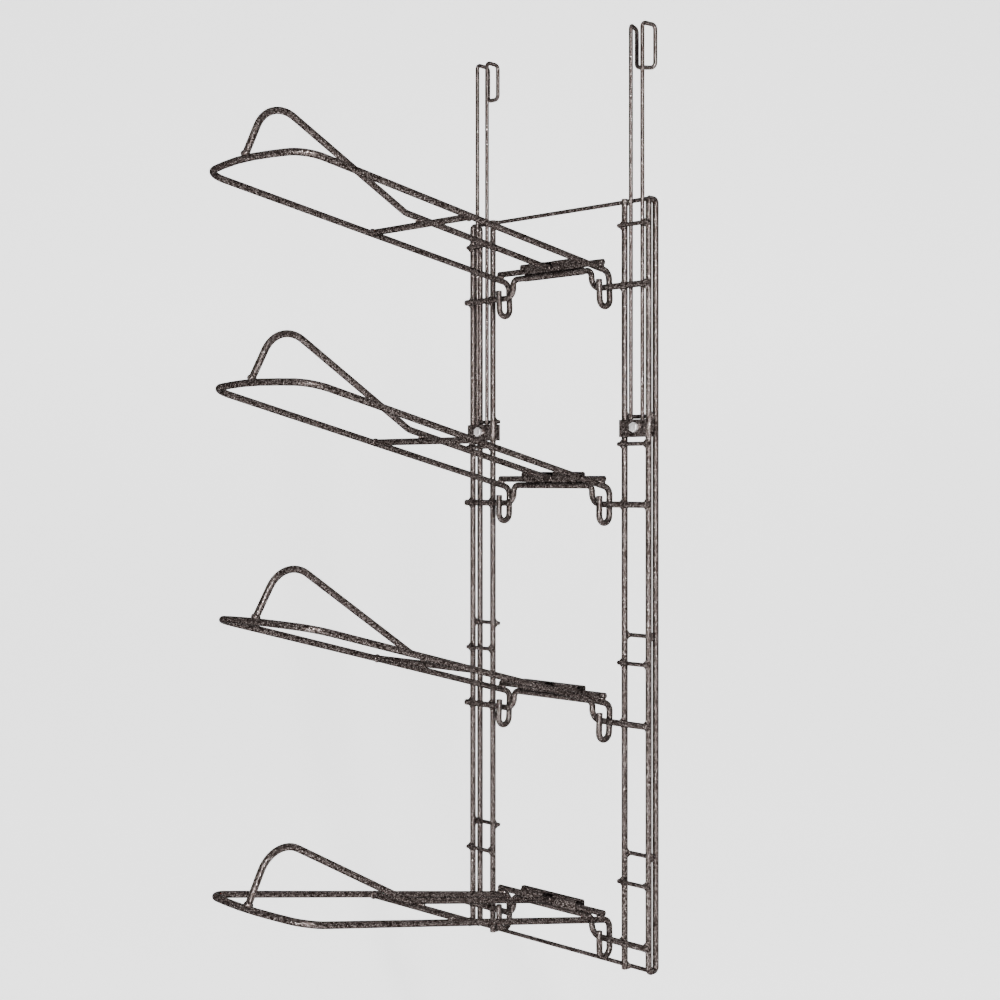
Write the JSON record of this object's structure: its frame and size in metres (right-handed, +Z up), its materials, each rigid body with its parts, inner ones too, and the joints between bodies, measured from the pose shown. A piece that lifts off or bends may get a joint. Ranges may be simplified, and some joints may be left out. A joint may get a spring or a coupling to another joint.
{
  "type": "over-the-wall saddle rack",
  "caption": "Bent steel rod rack that hangs over a wall on two sliding hooks and carries a column of saddles on arms that swing up.",
  "frame": {"origin": "the hang point: midway between the two hooks, in the middle of their throat, under the bends that rest on the wall's top edge", "axes": "+Z up, +X to the rack's right as it is seen from the front, arms reach towards -Y and the wall is towards +Y"},
  "size_m": [0.404, 0.6671, 1.4948],
  "materials": {
    "frame_coat": "dark brown-grey hammertone powder coat, pebbled and semi-gloss",
    "arm_coat": "the same hammertone powder coat on the arms",
    "sheet_coat": "the same hammertone coat on sheet and plate, a little flatter",
    "hook_coat": "the same hammertone coat on the thin hook wires",
    "bright_zinc": "bright zinc plating"
  },
  "bodies": {
    "ladder_frame": {"back_rung_left_1": "frame_coat", "back_rung_left_2": "frame_coat", "back_rung_left_3": "frame_coat", "back_rung_right_1": "frame_coat", "back_rung_right_2": "frame_coat", "back_rung_right_3": "frame_coat", "bottom_bar": "frame_coat", "clamp_back_left": "sheet_coat", "clamp_back_right": "sheet_coat", "clamp_bolt_left": "bright_zinc", "clamp_bolt_right": "bright_zinc", "clamp_front_left": "sheet_coat", "clamp_front_right": "sheet_coat", "clamp_nut_left": "bright_zinc", "clamp_nut_right": "bright_zinc", "clamp_pad_left": "sheet_coat", "clamp_pad_right": "sheet_coat", "crank_bar_1": "frame_coat", "crank_bar_2": "frame_coat", "crank_bar_3": "frame_coat", "crank_bar_4": "frame_coat", "front_rung_left_1": "frame_coat", "front_rung_left_2": "frame_coat", "front_rung_left_3": "frame_coat", "front_rung_left_4": "frame_coat", "front_rung_right_1": "frame_coat", "front_rung_right_2": "frame_coat", "front_rung_right_3": "frame_coat", "front_rung_right_4": "frame_coat", "inner_upright_left": "frame_coat", "inner_upright_right": "frame_coat", "outer_post_left": "frame_coat", "outer_post_right": "frame_coat", "top_bar": "frame_coat"},
    "arm_1": {"arm_cross_rod_1": "arm_coat", "arm_keeper_1": "sheet_coat", "arm_loop_1": "arm_coat", "arm_rear_bar_1": "arm_coat", "arm_ridge_1": "arm_coat"},
    "arm_2": {"arm_cross_rod_2": "arm_coat", "arm_keeper_2": "sheet_coat", "arm_loop_2": "arm_coat", "arm_rear_bar_2": "arm_coat", "arm_ridge_2": "arm_coat"},
    "arm_3": {"arm_cross_rod_3": "arm_coat", "arm_keeper_3": "sheet_coat", "arm_loop_3": "arm_coat", "arm_rear_bar_3": "arm_coat", "arm_ridge_3": "arm_coat"},
    "arm_4": {"arm_cross_rod_4": "arm_coat", "arm_keeper_4": "sheet_coat", "arm_loop_4": "arm_coat", "arm_rear_bar_4": "arm_coat", "arm_ridge_4": "arm_coat"},
    "hook_left": {"hook_left": "hook_coat"},
    "hook_right": {"hook_right": "hook_coat"}
  },
  "joints": [
    {"name": "arm_1_swing", "type": "hinge", "parent": "ladder_frame", "child": "arm_1", "pos_m": [0, -0.0223, -0.4073], "axis": [-1, 0, 0], "range_deg": [0, 30]},
    {"name": "arm_2_swing", "type": "hinge", "parent": "ladder_frame", "child": "arm_2", "pos_m": [0, -0.0223, -0.7527], "axis": [-1, 0, 0], "range_deg": [0, 24]},
    {"name": "arm_3_swing", "type": "hinge", "parent": "ladder_frame", "child": "arm_3", "pos_m": [0, -0.0223, -1.0981], "axis": [-1, 0, 0], "range_deg": [0, 24]},
    {"name": "arm_4_swing", "type": "hinge", "parent": "ladder_frame", "child": "arm_4", "pos_m": [0, -0.0223, -1.4435], "axis": [-1, 0, 0], "range_deg": [0, 24]},
    {"name": "hook_left_slide", "type": "slide", "parent": "ladder_frame", "child": "hook_left", "axis": [0, 0, -1], "range_m": [0, 0.2]},
    {"name": "hook_right_slide", "type": "slide", "parent": "ladder_frame", "child": "hook_right", "axis": [0, 0, -1], "range_m": [0, 0.2]}
  ]
}
